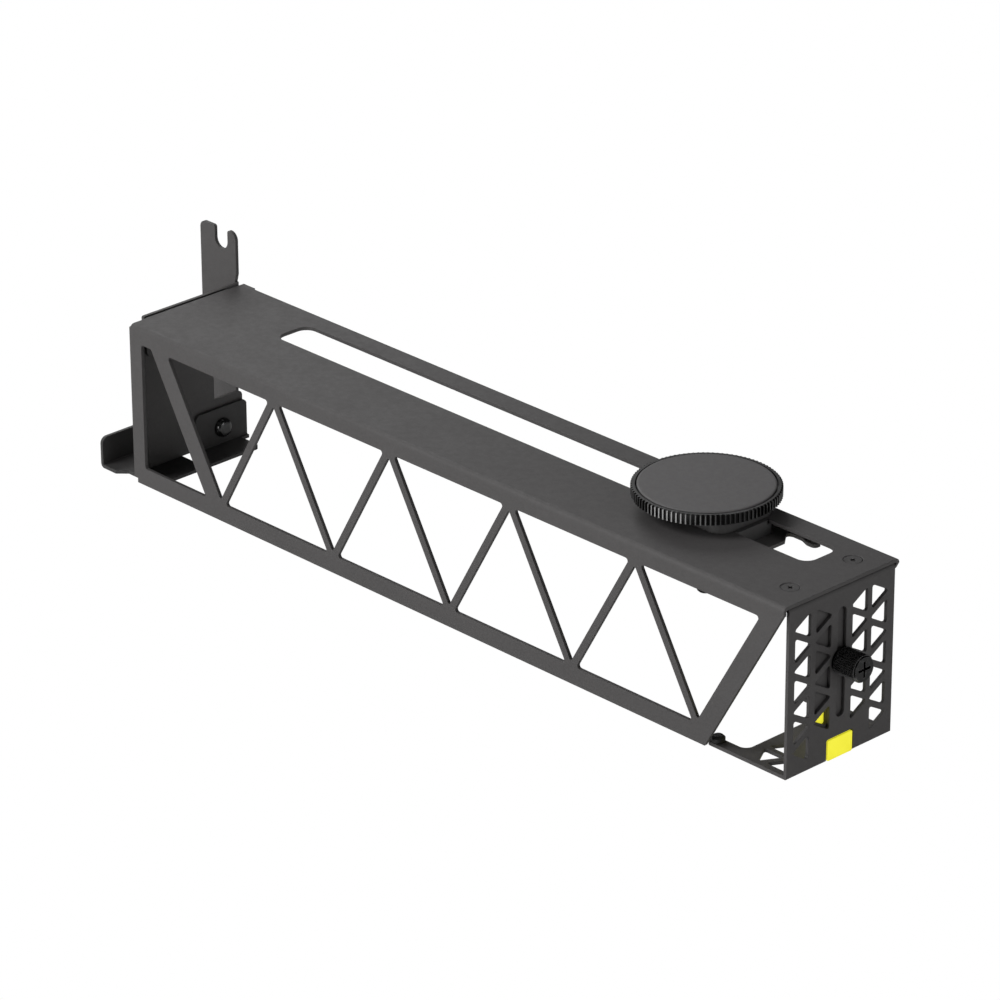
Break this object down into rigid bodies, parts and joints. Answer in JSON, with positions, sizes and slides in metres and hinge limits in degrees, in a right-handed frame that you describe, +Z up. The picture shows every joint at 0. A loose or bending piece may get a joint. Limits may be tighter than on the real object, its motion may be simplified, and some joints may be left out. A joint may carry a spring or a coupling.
{
  "type": "graphics card support bracket",
  "caption": "Black folded steel truss beam that bolts beside the case's card slots and props a graphics card with a screw-up pad on a sliding carriage.",
  "frame": {"origin": "on the outer face of the slot bracket, at the middle of the beam's depth and half the beam's height up", "axes": "+X along the beam from the slot end to the foot end, +Y from the truss front to the plain rear lip, +Z up"},
  "size_m": [0.2781, 0.0506, 0.0644],
  "materials": {
    "black_coat": "matt fine powder coat",
    "black_steel": "black oxide",
    "black_screw": "glossy black plating",
    "black_moulding": "fine matt texture",
    "wheel_moulding": "glossy black",
    "pad_rubber": "matt",
    "stud_rubber": "satin",
    "yellow_foot": "satin"
  },
  "bodies": {
    "frame": {"main_beam": "black_coat", "slot_bracket": "black_coat", "beam_rivet_front": "black_steel", "beam_rivet_rear": "black_steel", "hook_bracket": "black_coat", "hook_screw": "black_screw", "hook_nut": "black_steel", "end_bracket": "black_coat", "top_screw_front": "black_screw", "top_screw_rear": "black_screw", "top_nut_front": "black_steel", "top_nut_rear": "black_steel", "arm_stud_front": "stud_rubber", "arm_stud_rear": "stud_rubber"},
    "leg": {"leg_plate": "black_coat", "leg_nut": "black_steel", "foot": "yellow_foot"},
    "thumbscrew": {"thumbscrew": "black_screw"},
    "carriage": {"carriage_top": "black_moulding", "carriage_low": "black_moulding", "arm_plate": "black_coat", "carriage_screw_left": "black_screw", "carriage_screw_right": "black_screw", "lift_nut": "black_steel"},
    "pad": {"pad_plate": "black_moulding", "rubber_pad": "pad_rubber"},
    "wheel": {"wheel": "wheel_moulding", "stem": "black_screw"}
  },
  "joints": [
    {"name": "carriage_slide", "type": "slide", "parent": "frame", "child": "carriage", "axis": [1, 0, 0], "range_m": [-0.145, 0.02]},
    {"name": "pad_lift", "type": "slide", "parent": "carriage", "child": "pad", "axis": [0, 0, 1], "range_m": [0, 0.016]},
    {"name": "wheel_turn", "type": "hinge", "parent": "pad", "child": "wheel", "pos_m": [0.19965, 0.0079, 0.0296], "axis": [0, 0, 1], "range_deg": [0, 7200]},
    {"name": "leg_slide", "type": "slide", "parent": "frame", "child": "leg", "axis": [0, 0, 1], "range_m": [-0.0145, 0]},
    {"name": "thumbscrew_turn", "type": "hinge", "parent": "leg", "child": "thumbscrew", "pos_m": [0.25505, 0.0003, 0.00275], "axis": [1, 0, 0], "range_deg": [0, 720]}
  ],
  "couplings": [
    {"joint": "pad_lift", "follows": "wheel_turn", "m_per_rad": 0.00012732}
  ]
}
